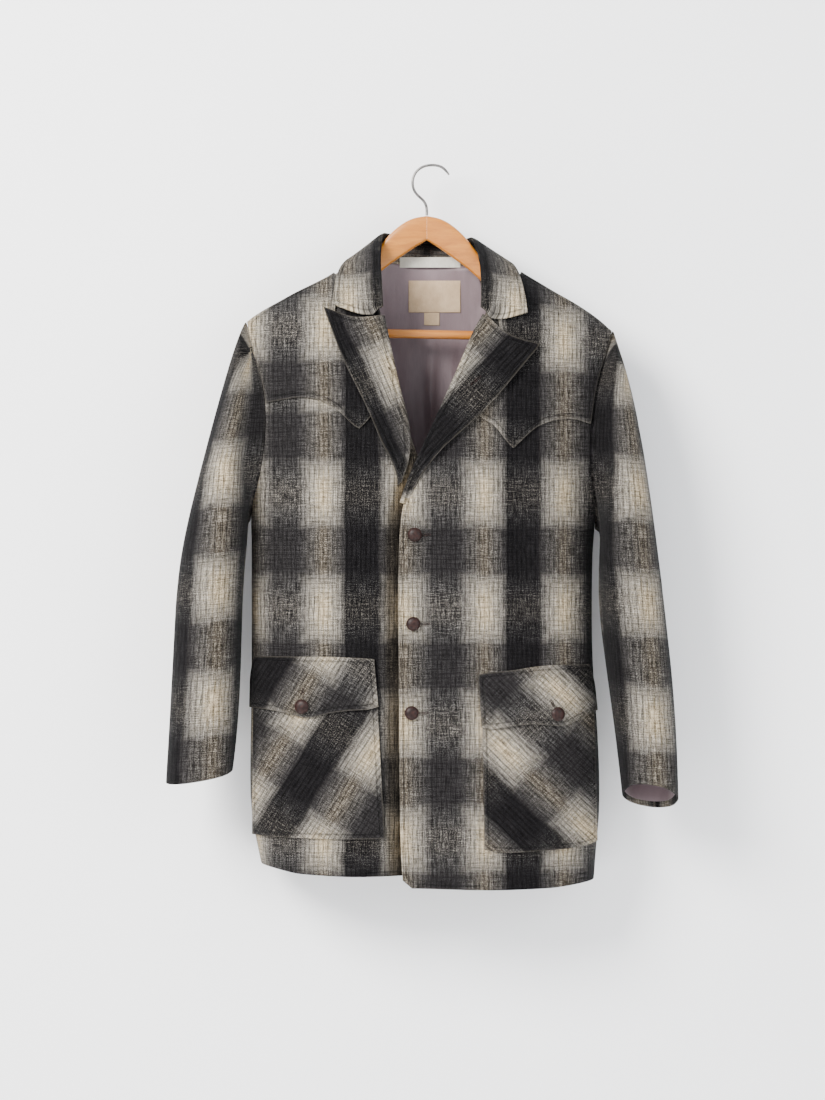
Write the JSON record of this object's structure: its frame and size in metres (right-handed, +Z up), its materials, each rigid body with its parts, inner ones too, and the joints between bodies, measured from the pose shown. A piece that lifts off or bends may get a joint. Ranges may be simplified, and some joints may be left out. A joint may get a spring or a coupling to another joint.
{
  "type": "wool coat on a wooden hanger",
  "caption": "Hip-length plaid wool coat with notched lapels, pointed front yokes, bias flap pockets and a satin-lined neck, hanging open at the neck on a wooden hanger.",
  "frame": {"origin": "the middle of the hook's bend, where a rail or nail of 3 mm carries the hanger, under the top of the wire", "axes": "+Z up, -Y out of the coat's front, +X towards the wearer's left"},
  "size_m": [0.6644, 0.1604, 0.9454],
  "materials": {
    "plaid_wool": "brushed wool twill in a grey, charcoal and cream shadow plaid, matt and slightly fuzzy",
    "mauve_satin": "grey-mauve lining satin with a soft sheen",
    "cream_ribbon": "woven cream ribbon, matt",
    "dark_leather": "dark brown moulded button, satin gloss",
    "beech": "clear-varnished pale wood, satin",
    "hook_steel": "drawn steel wire, dull"
  },
  "bodies": {
    "root": {"back": "plaid_wool", "front_left": "plaid_wool", "front_right": "plaid_wool", "yoke_left": "plaid_wool", "yoke_right": "plaid_wool", "top_sleeve_left": "plaid_wool", "top_sleeve_right": "plaid_wool", "under_sleeve_left": "plaid_wool", "under_sleeve_right": "plaid_wool", "collar": "plaid_wool", "lapel_left": "plaid_wool", "lapel_right": "plaid_wool", "pocket_left": "plaid_wool", "pocket_right": "plaid_wool", "flap_left": "plaid_wool", "flap_right": "plaid_wool", "lining_back": "mauve_satin", "cuff_lining_left": "mauve_satin", "cuff_lining_right": "mauve_satin", "hanging_loop": "cream_ribbon", "label": "cream_ribbon", "size_tab": "cream_ribbon", "button_top": "dark_leather", "button_middle": "dark_leather", "button_bottom": "dark_leather", "flap_button_left": "dark_leather", "flap_button_right": "dark_leather", "hanger_left": "beech", "hanger_right": "beech", "hanger_bar": "beech", "hanger_hook": "hook_steel"}
  },
  "joints": []
}
